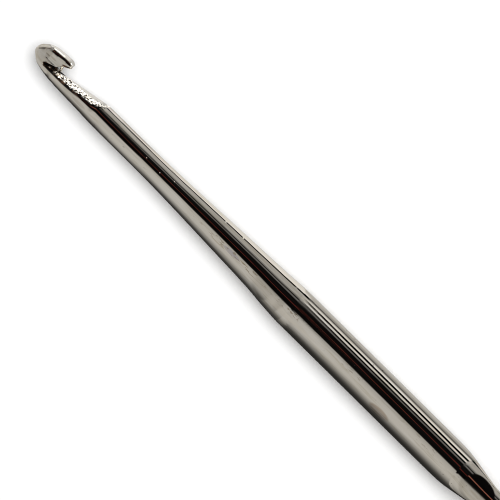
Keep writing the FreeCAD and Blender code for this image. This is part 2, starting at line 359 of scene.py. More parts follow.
def metal(points, inset, rough):
    """Distance-like field of the head at (back, rise, side): negative in metal."""
    back, rise, side = points[:, 0], points[:, 1], points[:, 2]
    nudge = 1e-3
    field = body_field(back, rise, side)
    slope_back = (body_field(back + nudge, rise, side) - field) / nudge
    slope_rise = (body_field(back, rise + nudge, side) - field) / nudge
    slope_side = (body_field(back, rise, side + nudge) - field) / nudge
    steepness = np.sqrt(slope_back * slope_back + slope_rise * slope_rise + slope_side * slope_side)
    body = field / np.maximum(steepness, 0.25)
    mouth = mouth_distance(back, rise)
    noise = np.zeros(len(back))
    if rough:
        near = (np.abs(mouth) < 0.35) & (np.abs(side) < 1.2) & (back > 2.1) & (back < 7.0)
        patch = points[near]
        coarse = 0.024 * waves(patch * [0.8, 1.0, 1.0], 0.20, 5)
        fine = 0.012 * waves(patch, 0.10, 6)
        noise[near] = throat_mask(patch[:, 0], patch[:, 1], patch[:, 2]) * (coarse + fine)
    mouth = mouth + noise
    body = body + noise
    # a burr stands on the -side rim just behind the lip's root, and that side's slot is narrower
    far = smoothstep(0.15, -0.5, side)
    burr = np.exp(-(((back - 2.64 + 0.30 * rise) / 0.12) ** 4))
    mouth = mouth - 0.55 * burr * far * (rise < 0.95)
    mouth = mouth - 0.15 * far * below_mouth(back, rise) * smoothstep(2.65, 2.25, back)
    solid = smooth_max(body, mouth, rim_round(back, rise))
    solid = smooth_max(solid, bevel(back, rise, side), 0.05)
    return smooth_max(solid, near_rim(back, rise, side) + noise, 0.06) + inset


def gradient(points, inset, rough, nudge):
    slopes = np.empty_like(points)
    for axis in range(3):
        shift = np.zeros(3)
        shift[axis] = nudge
        ahead = metal(points + shift, inset, rough)
        slopes[:, axis] = (ahead - metal(points - shift, inset, rough)) / (2 * nudge)
    return slopes


# ------------------------------------------------------------------ the head's mesh
def mend_grid(field):
    """Drop grid points that stand alone or meet corner to corner: they make specks and pinches."""
    for _ in range(3):
        solid = field < 0
        around = sum(
            np.roll(solid, shift, axis).astype(int) for axis in range(3) for shift in (-1, 1)
        )
        filled = np.where(~solid & (around >= 5), -np.abs(field) - 1e-6, field)
        field = np.where(solid & (around <= 1), np.abs(field) + 1e-6, filled)
        for first, second in ((0, 1), (0, 2), (1, 2)):
            part = {}
            for i in (0, 1):
                for j in (0, 1):
                    window = [slice(None)] * 3
                    window[first] = slice(i, field.shape[first] - 1 + i)
                    window[second] = slice(j, field.shape[second] - 1 + j)
                    part[i, j] = field[tuple(window)]
            full = {key: view < 0 for key, view in part.items()}
            part[1, 0][full[0, 0] & full[1, 1] & ~full[1, 0] & ~full[0, 1]] = -1e-5
            part[0, 0][full[1, 0] & full[0, 1] & ~full[0, 0] & ~full[1, 1]] = -1e-5
    return field


def cell_points(field, solid):
    """One point in each cell the surface passes, in grid steps, and the cells' point numbers."""
    corners = [(i, j, k) for i in (0, 1) for j in (0, 1) for k in (0, 1)]
    size_x, size_y, size_z = field.shape
    count = sum(
        solid[i : size_x - 1 + i, j : size_y - 1 + j, k : size_z - 1 + k].astype(int)
        for i, j, k in corners
    )
    active = (count > 0) & (count < 8)
    number = -np.ones(active.shape, int)
    number[active] = np.arange(active.sum())
    cells = np.argwhere(active)
    total, hits = np.zeros((len(cells), 3)), np.zeros(len(cells))
    for i in range(8):
        for j in range(i + 1, 8):
            start, end = np.array(corners[i]), np.array(corners[j])
            if np.abs(start - end).sum() != 1:
                continue
            at_start = field[tuple((cells + start).T)]
            at_end = field[tuple((cells + end).T)]
            crossed = (at_start < 0) != (at_end < 0)
            part = at_start / np.where(crossed, at_start - at_end, 1)
            total += np.where(crossed[:, None], start + part[:, None] * (end - start), 0)
            hits += crossed
    return cells + total / hits[:, None], number


def cell_faces(solid, number):
    """A quad round each grid edge that passes from metal to air."""
    faces = []
    for axis in range(3):
        first, second = [(1, 2), (2, 0), (0, 1)][axis]
        lower, upper = [slice(None)] * 3, [slice(None)] * 3
        lower[axis], upper[axis] = slice(0, -1), slice(1, None)
        edges = np.argwhere(solid[tuple(lower)] != solid[tuple(upper)])
        inner = (edges[:, first] > 0) & (edges[:, second] > 0)
        inner &= edges[:, first] < solid.shape[first] - 1
        inner &= edges[:, second] < solid.shape[second] - 1
        edges = edges[inner]
        step_a, step_b = np.zeros(3, int), np.zeros(3, int)
        step_a[first], step_b[second] = 1, 1
        around = (edges - step_a - step_b, edges - step_b, edges, edges - step_a)
        quads = np.stack([number[tuple(cell.T)] for cell in around], 1)
        flipped = ~solid[tuple(edges.T)]
        quads[flipped] = quads[flipped][:, ::-1]
        faces.append(quads[(quads >= 0).all(1)])
    return np.vstack(faces)


def head_mesh(inset, step, rough):
    """Points (back, rise, side) and quads of the head, open at its neck."""
    backs = np.arange(-3 * step, HEAD_END - step * 0.2, step)
    rises = np.arange(-1.16, 1.80, step)
    sides = np.arange(-1.14, 1.14 + step, step)
    grid = np.meshgrid(backs, rises, sides, indexing="ij")
    samples = np.stack([part.ravel() for part in grid], 1)
    field = np.empty(len(samples))
    batch = 400000
    for k in range(0, len(samples), batch):
        field[k : k + batch] = metal(samples[k : k + batch], inset, rough)
    field = mend_grid(field.reshape(grid[0].shape))
    solid = field < 0
    points, number = cell_points(field, solid)
    points = np.array([backs[0], rises[0], sides[0]]) + points * step
    faces = cell_faces(solid, number)
    used = np.unique(faces)
    renumber = -np.ones(len(points), int)
    renumber[used] = np.arange(len(used))
    points, faces = points[used], renumber[faces]
    # draw the points onto the surface
    for _ in range(3):
        field = metal(points, inset, rough)
        slope = gradient(points, inset, rough, nudge=2e-3)
        steep_sq = np.maximum((slope * slope).sum(1), 0.2)
        points = points - slope * np.clip(field / steep_sq, -0.4 * step, 0.4 * step)[:, None]
    return points, faces


def twist(rise, side):
    """(rise, side) to the bar's (y, z). The same sums also lead from (y, z) to (rise, side)."""
    return -rise * COS_TWIST + side * SIN_TWIST, rise * SIN_TWIST + side * COS_TWIST


# ------------------------------------------------------------------ the bar behind the head
def tube_point(x, angle, inset):
    """Point on the bar, its angle running round the axis from the mouth side towards +Z."""
    back = X_NOSE - x
    radius = np.where(back < 40, taper_radius(back), SHAFT_RADIUS)
    offset = np.where(back < TAPER_END, taper_offset(back), 0.0)
    # the flats: pressed thinner across Y, bulging wider in Z
    flat_start, flat_end = X_NOSE - FLAT_TO, X_NOSE - FLAT_FROM
    ramp = (SHAFT_RADIUS - FLAT_THICK / 2) / RAMP_SLOPE
    inside = np.minimum(x - flat_start, flat_end - x)
    part = np.clip(inside / (ramp * 1.5), 0, 1)
    ease = part * part * part * (part * (6 * part - 15) + 10)
    # not yet scaled: the bulge at full width times the ease
    bulge = (FLAT_WIDE / 2 - SHAFT_RADIUS) * ease
    rest = (ramp - inside) * RAMP_SLOPE
    corner = 0.05  # softness of the ramp's corner
    half_thick = FLAT_THICK / 2 + 0.5 * (rest + np.sqrt(rest * rest + corner * corner))
    # the rounded butt
    past = np.clip(-x / BUTT_ROUND, 0, 1)
    butt = SHAFT_RADIUS - BUTT_ROUND + BUTT_ROUND * np.sqrt(np.clip(1 - past ** 2, 0, 1))
    radius = np.where(x < 0, butt, radius)
    radius_y, radius_z = radius - inset, radius - inset + bulge
    cos, sin = np.cos(angle), np.sin(angle)
    oval = 1 / np.sqrt((cos / radius_y) ** 2 + (sin / radius_z) ** 2)
    slab = (half_thick - inset) / np.maximum(np.abs(cos), 1e-4)
    sharp = 26.0  # how crisply the flats meet the round
    blended = (oval ** -sharp + slab ** -sharp) ** (-1 / sharp)
    pressed = np.where(np.abs(inside) < 14, blended, oval)
    reach = np.where((x > flat_start - 1.5) & (x < flat_end + 1.5), pressed, oval)
    y = -reach * cos - offset * COS_TWIST
    z = reach * sin + offset * SIN_TWIST
    return np.stack([x, y, z], -1)


# Ring spacing from the neck to the butt's round: (x where the stretch ends, step).
RING_RUNS = [
    (X_NOSE - 24.0, 0.40), (X_NOSE - 28.5, 0.25), (X_NOSE - FLAT_FROM + 1.0, 0.9),
    (X_NOSE - FLAT_FROM - 6.5, 0.2), (X_NOSE - FLAT_TO + 6.5, 0.8), (X_NOSE - FLAT_TO - 1.0, 0.2),
    (0.0, 1.2),
]


def ring_places(coarseness):
    """x of each ring, from the neck to the butt."""
    places = []
    start = X_NOSE - HEAD_END - 0.02
    for end, step in RING_RUNS:
        count = max(1, int(round(abs(end - start) / (step * coarseness))))
        places.extend(np.linspace(start, end, count, endpoint=False))
        start = end
    count = int(12 / coarseness)
    for k in range(count + 1):
        places.append(-BUTT_ROUND * math.sin(math.pi / 2 * k / count))
    return np.array(places)


def tube(inset, ring_angles, places):
    """Grid of points and outward normals, ring by ring."""
    x, angle = np.meshgrid(places, ring_angles, indexing="ij")
    points = tube_point(x, angle, inset)
    points[..., 0] = np.where(x < 0, x + inset * np.clip(-x / BUTT_ROUND, 0, 1), x)
    nudge = 1e-3
    along = tube_point(x + nudge, angle, inset) - tube_point(x - nudge, angle, inset)
    round_bar = tube_point(x, angle + nudge, inset) - tube_point(x, angle - nudge, inset)
    normals = np.cross(along, round_bar)
    normals /= np.maximum(np.linalg.norm(normals, axis=-1, keepdims=True), 1e-12)
    outward = np.stack([np.zeros_like(x), -np.cos(angle), np.sin(angle)], -1)
    normals *= np.sign((normals * outward).sum(-1, keepdims=True) + 1e-9)
    return points, normals


# ------------------------------------------------------------------ joining the parts
def zip_loops(loop_a, angles_a, loop_b, angles_b):
    """Triangles between two closed loops of vertex numbers with rising angles."""
    turn = 2 * math.pi
    count_a, count_b = len(loop_a), len(loop_b)
    base = angles_a[0]
    first = int(np.argmin(np.abs((angles_b - base + math.pi) % turn - math.pi)))
    first_b = (angles_b[first] - base) % turn
    if first_b > math.pi:
        first_b -= turn

    def place_a(i):
        return (angles_a[i % count_a] - base) % turn + (turn if i >= count_a else 0)

    def place_b(j):
        if j >= count_b:
            return first_b + turn
        return (angles_b[(first + j) % count_b] - base) % turn

    triangles = []
    i, j = 0, 0
    while i < count_a or j < count_b:
        corners = (loop_a[i % count_a], loop_b[(first + j) % count_b])
        if j >= count_b or (i < count_a and place_a(i + 1) <= place_b(j + 1)):
            i += 1
            third = loop_a[i % count_a]
        else:
            j += 1
            third = loop_b[(first + j) % count_b]
        triangles.append(corners + (third,))
    return triangles


def boundary_loop(faces):
    """The one open loop of a quad mesh, as vertex numbers in order."""
    edges = {}
    for face in faces:
        edges.update(dict.fromkeys(zip(face, np.roll(face, -1))))
    following = {start: end for start, end in edges if (end, start) not in edges}
    first = next(iter(following))
    loop, current = [first], following[first]
    while current != first:
        loop.append(current)
        current = following[current]
    return np.array(loop)


def face_outwards(faces, points, normals):
    turned = []
    for face in faces:
        corners = points[list(face)]
        across = np.cross(corners[1] - corners[0], corners[2] - corners[0])
        if np.linalg.norm(across) < 1e-14 and len(face) == 4:
            across = np.cross(corners[2] - corners[0], corners[3] - corners[0])
        outwards = across @ normals[list(face)].sum(0) >= 0
        turned.append(tuple(int(v) for v in (face if outwards else face[::-1])))
    return turned


def whole_surface(inset, step, rough, around, coarseness):
    """Points, faces and unit normals of the hook's whole surface."""
    head, head_faces = head_mesh(inset, step, rough)
    slope = gradient(head, inset, rough, nudge=4e-3)
    slope /= np.maximum(np.linalg.norm(slope, axis=1, keepdims=True), 1e-9)
    head_normals = np.stack([-slope[:, 0], *twist(slope[:, 1], slope[:, 2])], 1)
    head = np.stack([X_NOSE - head[:, 0], *twist(head[:, 1], head[:, 2])], 1)
    faces = [tuple(int(v) for v in face) for face in head_faces]

    ring_angles = 2 * math.pi * np.arange(around) / around
    bar, bar_normals = tube(inset, ring_angles, ring_places(coarseness))
    rings = bar.shape[0]
    grid = len(head) + np.arange(rings * around).reshape(rings, around)
    for ring, following in zip(grid[:-1], grid[1:]):
        for j in range(around):
            k = (j + 1) % around
            faces.append((ring[j], ring[k], following[k], following[j]))

    # join the head to the first ring
    loop = boundary_loop(head_faces)
    axis_y, axis_z = -NECK_OFFSET * COS_TWIST, NECK_OFFSET * SIN_TWIST
    angles = np.arctan2(head[loop][:, 2] - axis_z, -(head[loop][:, 1] - axis_y)) % (2 * math.pi)
    if np.diff(np.unwrap(angles)).sum() < 0:
        loop, angles = loop[::-1], angles[::-1]
    faces += zip_loops(loop, angles, grid[0], ring_angles)

    # close the butt with a fan round a slightly proud centre
    last = grid[-1]
    centre = len(head) + rings * around
    butt = np.array([[bar[-1, :, 0].mean() - 0.012, 0, 0]])
    for j in range(around):
        faces.append((last[(j + 1) % around], centre, last[j]))
    points = np.vstack([head, bar.reshape(-1, 3), butt])
    normals = np.vstack([head_normals, bar_normals.reshape(-1, 3), [[-1.0, 0, 0]]])
    return points, face_outwards(faces, points, normals), normals


def mesh_object(name, points, faces, normals):
    mesh = bpy.data.meshes.new(name)
    mesh.from_pydata((points / 1000.0).tolist(), [], faces)
    mesh.update()
    mesh.shade_smooth()
    mesh.normals_split_custom_set_from_vertices(normals.tolist())
    thing = bpy.data.objects.new(name, mesh)
    bpy.context.scene.collection.objects.link(thing)
    return thing


# ------------------------------------------------------------------ painted attributes
def oval(back, across, centre, half_size, slope, edge):
    """1 inside a slanted oval, fading between the two edge radii."""
    along = (back - centre[0]) / half_size[0]
    up = (across - centre[1] - slope * (back - centre[0])) / half_size[1]
    return smoothstep(*edge, np.hypot(along, up))


def add_attribute(thing, name, values):
    attribute = thing.data.attributes.new(name, "FLOAT", "POINT")
    attribute.data.foreach_set("value", values.astype(np.float32))


def paint_plating(skin, points, outer_count):
    """Mark the milled throat, and the places where shade and dark reflections are painted on."""
    back = X_NOSE - points[:, 0]
    rise, side = twist(points[:, 1], points[:, 2])
    mouth = mouth_distance(back, rise)
    inner = np.zeros(len(back))
    inner[outer_count:] = 1
    throat = throat_mask(back, rise, side) * (np.abs(mouth) < 0.35) * (1 - inner)
    add_attribute(skin, "throat", throat)

    across = rise * COS_TWIST - side * SIN_TWIST
    # painted shade deep in the slot behind the lip, where the recess lies in shade
    slot_end = smoothstep(2.62, 2.25, back + 0.4 * (across - 0.2))
    painted_shade = smoothstep(-0.085, -0.01, mouth) * slot_end * (back > 0.9)
    # a spot at the mouth's edge, painted dark as shade
    spot = oval(back, across, (2.80, 0.28), (0.30, 0.07), slope=0.25, edge=(1.25, 0.7))
    painted_shade = np.maximum(painted_shade, spot * (mouth > -0.1) * (rise < 0.5))
    # a band along the throat's rim, painted dark as the rim's dark reflection
    band_top = np.where(back < 2.3, 0.1, PATCH_LOW(back))
    band = smoothstep(-0.03, 0.03, across - BAND(back)) * smoothstep(0.03, -0.03, across - band_top)
    band = band * (side > 0.2) * smoothstep(1.15, 1.4, back) * smoothstep(5.1, 4.3, back)
    # a spot on the lip, painted dark as shade on the lip's lower edge
    lip_spot = oval(back, across, (2.58, 0.82), (0.24, 0.07), slope=0.25, edge=(1.2, 0.8))
    lip_spot = lip_spot * (side > 0.3) * (rise > 0.6)
    # a fine dark line over the tip's shoulder, from its start along its run: a painted dark
    # reflection
    start_back, start_across = 0.26, 0.45
    run_back, run_across, run_sq = 0.75, 0.74, 1.11
    along = (back - start_back) * run_back + (across - start_across) * run_across
    along = np.clip(along / run_sq, 0, 1)
    from_line = np.hypot(
        back - start_back - run_back * along, across - start_across - run_across * along
    )
    line = smoothstep(0.080, 0.030, from_line) * (points[:, 2] > 0)
    painted_shade = np.maximum(np.maximum(np.maximum(painted_shade, band), lip_spot), 0.6 * line)
    painted_shade = painted_shade * (1 - inner) * (1 - throat)
    # a spot in the slot where the painted shade is lifted, so a highlight shows there
    lit = oval(back, across, (1.74, -0.01), (0.14, 0.05), slope=0, edge=(1.0, 0.5))
    add_attribute(skin, "painted_shade", painted_shade * (1 - 0.8 * lit))


# ------------------------------------------------------------------ node trees
class Nodes:
    """Short calls for building a node tree."""

    def __init__(self, tree):
        self.tree = tree
        tree.nodes.clear()

    def add(self, kind, inputs=None, **props):
        """New node; each input is linked to a socket or given a plain value."""
        node = self.tree.nodes.new(kind)
        for name, value in props.items():
            setattr(node, name, value)
        for key, value in (inputs or {}).items():
            if isinstance(value, bpy.types.NodeSocket):
                self.tree.links.new(value, node.inputs[key])
            else:
                node.inputs[key].default_value = value
        return node

    def math(self, operation, *values):
        inputs = dict(enumerate(values))
        return self.add("ShaderNodeMath", inputs, operation=operation).outputs[0]

    def times(self, first, *others):
        for other in others:
            first = self.math("MULTIPLY", first, other)
        return first

    def fade(self, value, start, end):
        """0 at start, easing to 1 at end."""
        inputs = {"Value": value, "From Min": start, "From Max": end}
        node = self.add("ShaderNodeMapRange", inputs, interpolation_type="SMOOTHSTEP")
        return node.outputs["Result"]

    def mix(self, factor, below, above, mode="MIX"):
        inputs = {0: factor, 6: below, 7: above}
        return self.add("ShaderNodeMix", inputs, data_type="RGBA", blend_type=mode).outputs[2]

    def mix_shader(self, factor, below, above):
        inputs = {0: factor, 1: below, 2: above}
        return self.add("ShaderNodeMixShader", inputs).outputs[0]

    def ramp(self, value, stops):
        node = self.add("ShaderNodeValToRGB", {0: value})
        elements = node.color_ramp.elements
        while len(elements) > 1:
            elements.remove(elements[-1])
        elements[0].position, elements[0].color = stops[0]
        for position, colour in stops[1:]:
            elements.new(position).color = colour
        return node.outputs[0]

    def noise(self, place, along, across, detail, roughness, shift):
        """Noise with its own frequency, per metre, along the bar and across it."""
        inputs = {"Vector": place, "Scale": (along, across, across), "Location": shift}
        mapped = self.add("ShaderNodeMapping", inputs).outputs[0]
        inputs = {"Vector": mapped, "Scale": 1.0, "Detail": detail, "Roughness": roughness}
        return self.add("ShaderNodeTexNoise", inputs).outputs["Fac"]


def new_material(name):
    material = bpy.data.materials.new(name)
    material.use_nodes = True
    return material, Nodes(material.node_tree)


# ------------------------------------------------------------------ nickel plating
# frequency along, frequency across, detail, roughness, shift; then where its mask fades in
NOISES = {
    "fine lines": ((90, 2600, 4.0, 0.6, (0, 0, 0)), (0.3, 0.8)),
    "broad lines": ((45, 900, 3.0, 0.5, (3, 1, 7)), (0.35, 0.7)),
    "cloud": ((140, 260, 4.0, 0.6, (1, 5, 2)), (0.52, 0.75)),
    "smear": ((330, 900, 5.0, 0.65, (9, 2, 4)), (0.56, 0.72)),
    "speck": ((2600, 3600, 1.0, 0.5, (7, 7, 3)), (0.70, 0.76)),
    "speck patches": ((60, 120, 2.0, 0.5, (5, 9, 1)), (0.46, 0.60)),
    "streak": ((260, 2600, 5.0, 0.6, (8, 3, 3)), (0.50, 0.64)),
    "pale streak": ((170, 2300, 3.0, 0.5, (3, 8, 5)), (0.52, 0.66)),
    "grit": ((1700, 5200, 2.0, 0.6, (6, 1, 8)), (0.54, 0.64)),
    "grit patches": ((180, 300, 2.0, 0.5, (2, 2, 9)), (0.42, 0.56)),
    # mottle of the painted shade in the slot
    "shade_mottle": ((1400, 1400, 3.0, 0.6, (4, 4, 9)), (0.50, 0.66)),
    "ripple": ((700, 7000, 2.0, 0.5, (1, 6, 6)), None),
    # mottle of the painted glints and pit shade on the milled patch
    "glint_and_pit_shade": ((6200, 6200, 1.5, 0.5, (2, 8, 5)), None),
}
# (distance from the nose, offset towards -Y, half length, half width), tint, strength
STAINS = [
    ((21.25, -0.36, 0.88, 0.17), (0.45, 0.42, 0.43, 1), 0.85),
    ((19.9, -0.55, 0.8, 0.05), (0.50, 0.44, 0.33, 1), 0.6),
    ((22.4, -0.28, 0.45, 0.05), (0.46, 0.38, 0.24, 1), 0.7),
    ((37.3, -1.08, 1.0, 0.30), (0.36, 0.27, 0.19, 1), 0.65),
    ((1.05, 0.55, 0.22, 0.07), (0.40, 0.36, 0.30, 1), 0.8),
    ((1.55, 0.62, 0.30, 0.08), (0.52, 0.46, 0.38, 1), 0.6),
    ((5.2, -0.42, 0.7, 0.12), (0.50, 0.45, 0.38, 1), 0.6),
]
# (distance from the nose, offset towards -Y, radius)
NICKS = [
    (19.27, 0.995, 0.055), (21.04, 1.065, 0.07), (11.70, 0.245, 0.032), (13.19, 0.14, 0.032),
    (14.43, 0.435, 0.035),
]
# painted glints of the milled patch: painted shade in the pits, then ever brighter painted
# highlights on the facets, above 1
PAINTED_GLINT_STOPS = [
    (0.0, (0.02, 0.018, 0.015, 1)), (0.42, (0.03, 0.02, 0.015, 1)), (0.46, (1.0, 0.9, 0.75, 1)),
    (0.52, (1.9, 1.85, 1.75, 1)), (1.0, (2.3, 2.3, 2.25, 1)),
]


def nickel_material():
    material, nodes = new_material("bright_nickel_plate")
    place = nodes.add("ShaderNodeTexCoord").outputs["Object"]
    x, y, z = nodes.add("ShaderNodeSeparateXYZ", {0: place}).outputs
    noise, mask = {}, {}
    for name, (settings, fade) in NOISES.items():
        noise[name] = nodes.noise(place, *settings)
        if fade:
            mask[name] = nodes.fade(noise[name], *fade)

    def blot(back, offset, half_length, half_width, ragged):
        """1 inside an oval on the +Z side of the bar."""
        along = nodes.math(
            "MULTIPLY_ADD", x, -1000.0 / half_length, (X_NOSE - back) / half_length
        )
        across = nodes.math("MULTIPLY_ADD", y, -1000.0 / half_width, -offset / half_width)
        apart = nodes.math("ADD", nodes.times(along, along), nodes.times(across, across))
        ragging = nodes.math("MULTIPLY_ADD", noise["smear"], ragged * 2, -ragged)
        apart = nodes.math("ADD", apart, ragging)
        upper = nodes.fade(z, start=-0.0002, end=0.0003)
        return nodes.times(nodes.fade(apart, start=1.25, end=0.55), upper)

    # drawing and polishing lines run along the bar
    base = nodes.mix(mask["broad lines"], (0.665, 0.622, 0.548, 1), (0.640, 0.590, 0.505, 1))
    base = nodes.mix(mask["cloud"], base, (0.675, 0.636, 0.570, 1))
    # faint dull smears, specks of dirt in patches, single stains, long streaks dark and pale
    specks = nodes.times(mask["speck"], mask["speck patches"])
    layers = [
        (mask["smear"], (0.50, 0.455, 0.385, 1), 0.35),
        (specks, (0.20, 0.17, 0.13, 1), 0.75),
    ]
    layers += [(blot(*spot, ragged=0.5), tint, strength) for spot, tint, strength in STAINS]
    layers += [
        (mask["streak"], (0.535, 0.485, 0.385, 1), 0.55),
        (mask["pale streak"], (0.735, 0.70, 0.64, 1), 0.55),
    ]
    # brown grit in a strip just off the middle, on the side away from the mouth
    offset = nodes.math("MULTIPLY_ADD", y, -1000.0, 0.0)
    strip = nodes.times(
        nodes.fade(offset, start=-0.62, end=-0.42),
        nodes.fade(offset, start=-0.12, end=-0.20),
        nodes.fade(x, start=(X_NOSE - 16) / 1000, end=(X_NOSE - 21) / 1000),
    )
    grit = nodes.times(mask["grit"], mask["grit patches"])
    layers.append((nodes.times(grit, strip), (0.30, 0.24, 0.16, 1), 0.7))
    for cover, tint, strength in layers:
        base = nodes.mix(nodes.times(cover, strength), base, tint)

    lines = nodes.add(
        "ShaderNodeBump", {"Strength": 0.10, "Distance": 0.00002, "Height": noise["fine lines"]}
    ).outputs[0]
    ripple = {
        "Strength": 1.0, "Distance": 0.0000009, "Height": noise["ripple"], "Normal": lines,
    }
    metal_inputs = {
        "Base Color": base,
        "Metallic": 1.0,
        "Roughness": nodes.math("MULTIPLY_ADD", mask["fine lines"], 0.025, 0.018),
        "Normal": nodes.add("ShaderNodeBump", ripple).outputs[0],
    }
    surface = nodes.add("ShaderNodeBsdfPrincipled", metal_inputs).outputs[0]

    # painted glints: the milled patch's facets are coloured above 1, so they throw back more light
    # than falls on them
    facets = {"Color": nodes.ramp(noise["glint_and_pit_shade"], PAINTED_GLINT_STOPS), "Roughness": 0.06}
    glint = nodes.add("ShaderNodeBsdfAnisotropic", facets).outputs[0]
    throat = nodes.add("ShaderNodeAttribute", attribute_name="throat").outputs["Fac"]
    surface = nodes.mix_shader(throat, surface, glint)
    # painted shade: a flat dark diffuse, mottled with brown, laid over the slot's recess and the
    # rim's dark reflections
    shade_colour = nodes.mix(mask["shade_mottle"], (0.006, 0.005, 0.005, 1), (0.085, 0.045, 0.026, 1))
    painted_shade_bsdf = nodes.add("ShaderNodeBsdfDiffuse", {"Color": shade_colour}).outputs[0]
    painted_shade = nodes.add("ShaderNodeAttribute", attribute_name="painted_shade").outputs["Fac"]
    surface = nodes.mix_shader(painted_shade, surface, painted_shade_bsdf)
    # tiny pale nicks
    chalk = nodes.add("ShaderNodeBsdfDiffuse", {"Color": (0.62, 0.58, 0.50, 1)}).outputs[0]
    for back, across, radius in NICKS:
        nick = nodes.times(blot(back, across, radius, radius, ragged=0.1), 0.9)
        surface = nodes.mix_shader(nick, surface, chalk)
    nodes.add("ShaderNodeOutputMaterial", {0: surface})
    return material


def steel_material():
    material, nodes = new_material("drawn_steel_core")
    place = nodes.add("ShaderNodeTexCoord").outputs["Object"]
    grain = nodes.noise(
        place, along=60, across=2500, detail=4.0, roughness=0.5, shift=(0, 0, 0)
    )
    metal_inputs = {
        "Base Color": nodes.mix(grain, (0.50, 0.50, 0.51, 1), (0.60, 0.60, 0.61, 1)),
        "Metallic": 1.0,
        "Roughness": nodes.math("MULTIPLY_ADD", grain, 0.2, 0.28),
    }
    surface = nodes.add("ShaderNodeBsdfPrincipled", metal_inputs).outputs[0]
    nodes.add("ShaderNodeOutputMaterial", {0: surface})
    return material


# ------------------------------------------------------------------ the hook
def build_hook():
    """The plating is a closed shell round the steel core."""
    step = 0.035
    outer, outer_faces, outer_normals = whole_surface(
        inset=0.0, step=step, rough=True, around=96, coarseness=1.0
    )
    inner, inner_faces, inner_normals = whole_surface(
        inset=PLATING, step=0.10, rough=False, around=32, coarseness=2.5
    )
    count = len(outer)
    shell = np.vstack([outer, inner])
    shell_faces = outer_faces + [tuple(count + v for v in face[::-1]) for face in inner_faces]
    shell_normals = np.vstack([outer_normals, -inner_normals])
    skin = mesh_object("hook_nickel_plating", shell, shell_faces, shell_normals)
    core = mesh_object("hook_steel_core", inner, inner_faces, inner_normals)
    paint_plating(skin, shell, count)
    skin.data.materials.append(nickel_material())
    core.data.materials.append(steel_material())
    for thing, node, slot in ((skin, "nickel_plating", "nickel"), (core, "steel_core", "steel")):
        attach(thing, "root")
        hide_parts(node)


build_hook()

# ------------------------------------------------------------------ camera and floor
scene = bpy.context.scene
scene.view_settings.view_transform = "Standard"
scene.view_settings.look = "None"
scene.view_settings.exposure = 0.0
scene.view_settings.gamma = 1.0
scene.cycles.filter_width = 1.0

LENS, SENSOR = 1000.0, 36.0
FIELD_WIDTH = 37.313433  # width in view, millimetres
ROLL = math.radians(44.65)
# how far the middle of the view lies from the nose, millimetres
VIEW_RIGHT, VIEW_DOWN = 16.201493, 14.925373
FLOOR_Z, FLOOR_HALF = -0.00225, 7.0  # metres


def add_camera():
    """Looks straight down, the nose pointing up and left; returns the middle of its view."""
    right = Vector((-math.cos(ROLL), -math.sin(ROLL), 0))
    up = Vector((math.sin(ROLL), -math.cos(ROLL), 0))
    centre = Vector((X_NOSE / 1000, 0, 0)) + (right * VIEW_RIGHT - up * VIEW_DOWN) / 1000
    distance = FIELD_WIDTH / 1000 / (SENSOR / LENS)
    data = bpy.data.cameras.new("camera")
    data.lens, data.sensor_width, data.sensor_fit = LENS, SENSOR, "HORIZONTAL"
    data.clip_start, data.clip_end = 0.01, 30
    camera = bpy.data.objects.new("camera", data)
    scene.collection.objects.link(camera)
    turn = Matrix((right, up, right.cross(up))).transposed()
    camera.matrix_world = Matrix.Translation(centre + Vector((0, 0, distance))) @ turn.to_4x4()
    scene.camera = camera
    return centre


def add_floor():
    """A large pale sheet just under the hook, unseen in its reflections."""
    mesh = bpy.data.meshes.new("floor")
    corners = [(-1, -1), (1, -1), (1, 1), (-1, 1)]
    points = [(x * FLOOR_HALF, y * FLOOR_HALF, FLOOR_Z) for x, y in corners]
    mesh.from_pydata(points, [], [(0, 1, 2, 3)])
    floor = bpy.data.objects.new("floor", mesh)
    scene.collection.objects.link(floor)
    paper = bpy.data.materials.new("pale_paper")
    paper.use_nodes = True
    inputs = paper.node_tree.nodes["Principled BSDF"].inputs
    inputs["Base Color"].default_value = (0.86, 0.86, 0.86, 1)
    inputs["Roughness"].default_value = 1.0
    inputs["Specular IOR Level"].default_value = 0.0
    mesh.materials.append(paper)
    floor.visible_glossy = False


# ------------------------------------------------------------------ world
# What the polished metal sees: panels laid along the bar, one set for each range of tilt.
# (degrees round the bar of the surface that mirrors it, 0 facing up and + to the mouth side;
# brightness as displayed, 0 to 255; green and blue shares where the panel is tinted)
NECK_PANELS = [
    (-90, 80), (-80, 40), (-72, 58), (-63, 84), (-54, 128), (-48, 154), (-42, 170), (-36, 177),
    (-26, 180), (-19.5, 166), (-15, 175), (-10.4, 168), (-7.6, 6), (-1, 6), (4.7, 10),
    (6, 100, 0.20, 0.15), (7.3, 10), (16.8, 12), (19.5, 50), (21.5, 84), (23.6, 56), (26.5, 100),
    (30, 150), (34, 168), (40, 172), (46.1, 160), (46.6, 3), (53.3, 3), (54.2, 232), (59, 205),
    (66, 166), (90, 205),
]
TAPER_PANELS = [
    (-90, 50), (-80, 36), (-72, 48), (-63, 62), (-57, 92), (-51, 122), (-46.5, 143), (-42, 160),
    (-37, 174), (-26, 178), (-16, 174), (-11, 166), (-8.4, 160), (-5.9, 6), (2, 7), (4.7, 9),
    (5.8, 100, 0.18, 0.13), (6.9, 9), (14, 14), (18.6, 4), (20.4, 92), (22.8, 92), (24.2, 24),
    (26.0, 24), (27.2, 100), (29.5, 122), (32, 158), (46.3, 158), (46.8, 4), (51.5, 4),
    (52.2, 224), (90, 190),
]
